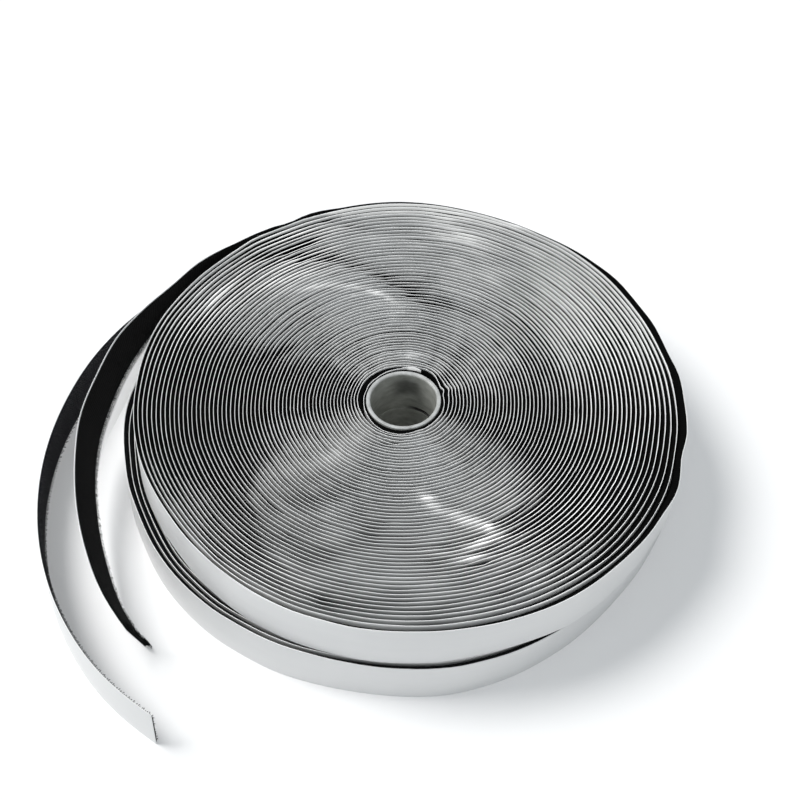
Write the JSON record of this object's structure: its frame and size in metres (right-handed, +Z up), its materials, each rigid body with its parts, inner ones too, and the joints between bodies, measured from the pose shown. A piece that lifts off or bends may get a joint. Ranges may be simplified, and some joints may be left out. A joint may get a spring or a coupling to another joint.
{
  "type": "hook and loop tape roll",
  "caption": "Stacked rolls of self-adhesive hook tape and loop tape, each wound with its release liner on a plastic core and ending in a free tail.",
  "frame": {"origin": "middle of the bottom of the whole object's box, tails included, on the surface it stands on", "axes": "+Z up along both cores' common axis; +X to the right and +Y away from the viewer in the pictured view, with the tails' ends towards -X and -Y"},
  "size_m": [0.2776, 0.2628, 0.0455],
  "materials": {
    "core_plastic": "translucent greyish white polypropylene tube",
    "hook_tape": "matt black woven nylon with rows of small stiff hooks",
    "loop_tape": "matt deep black nylon loop pile",
    "release_liner": "satin white translucent release film"
  },
  "bodies": {
    "hook_roll": {"hook_roll_core": "core_plastic", "hook_roll_inner_turns": "hook_tape", "hook_tape_outer_turns": "hook_tape", "hook_liner_outer_turns": "release_liner", "hook_tape_tail": "hook_tape", "hook_liner_tail": "release_liner"},
    "loop_roll": {"loop_roll_core": "core_plastic", "loop_roll_inner_turns": "loop_tape", "loop_tape_outer_turns": "loop_tape", "loop_liner_outer_turns": "release_liner", "loop_tape_tail": "loop_tape", "loop_liner_tail": "release_liner"}
  },
  "joints": [
    {"name": "loop_roll_lift", "type": "slide", "parent": "hook_roll", "child": "loop_roll", "axis": [0, 0, 1], "range_m": [0, 0.06]}
  ]
}
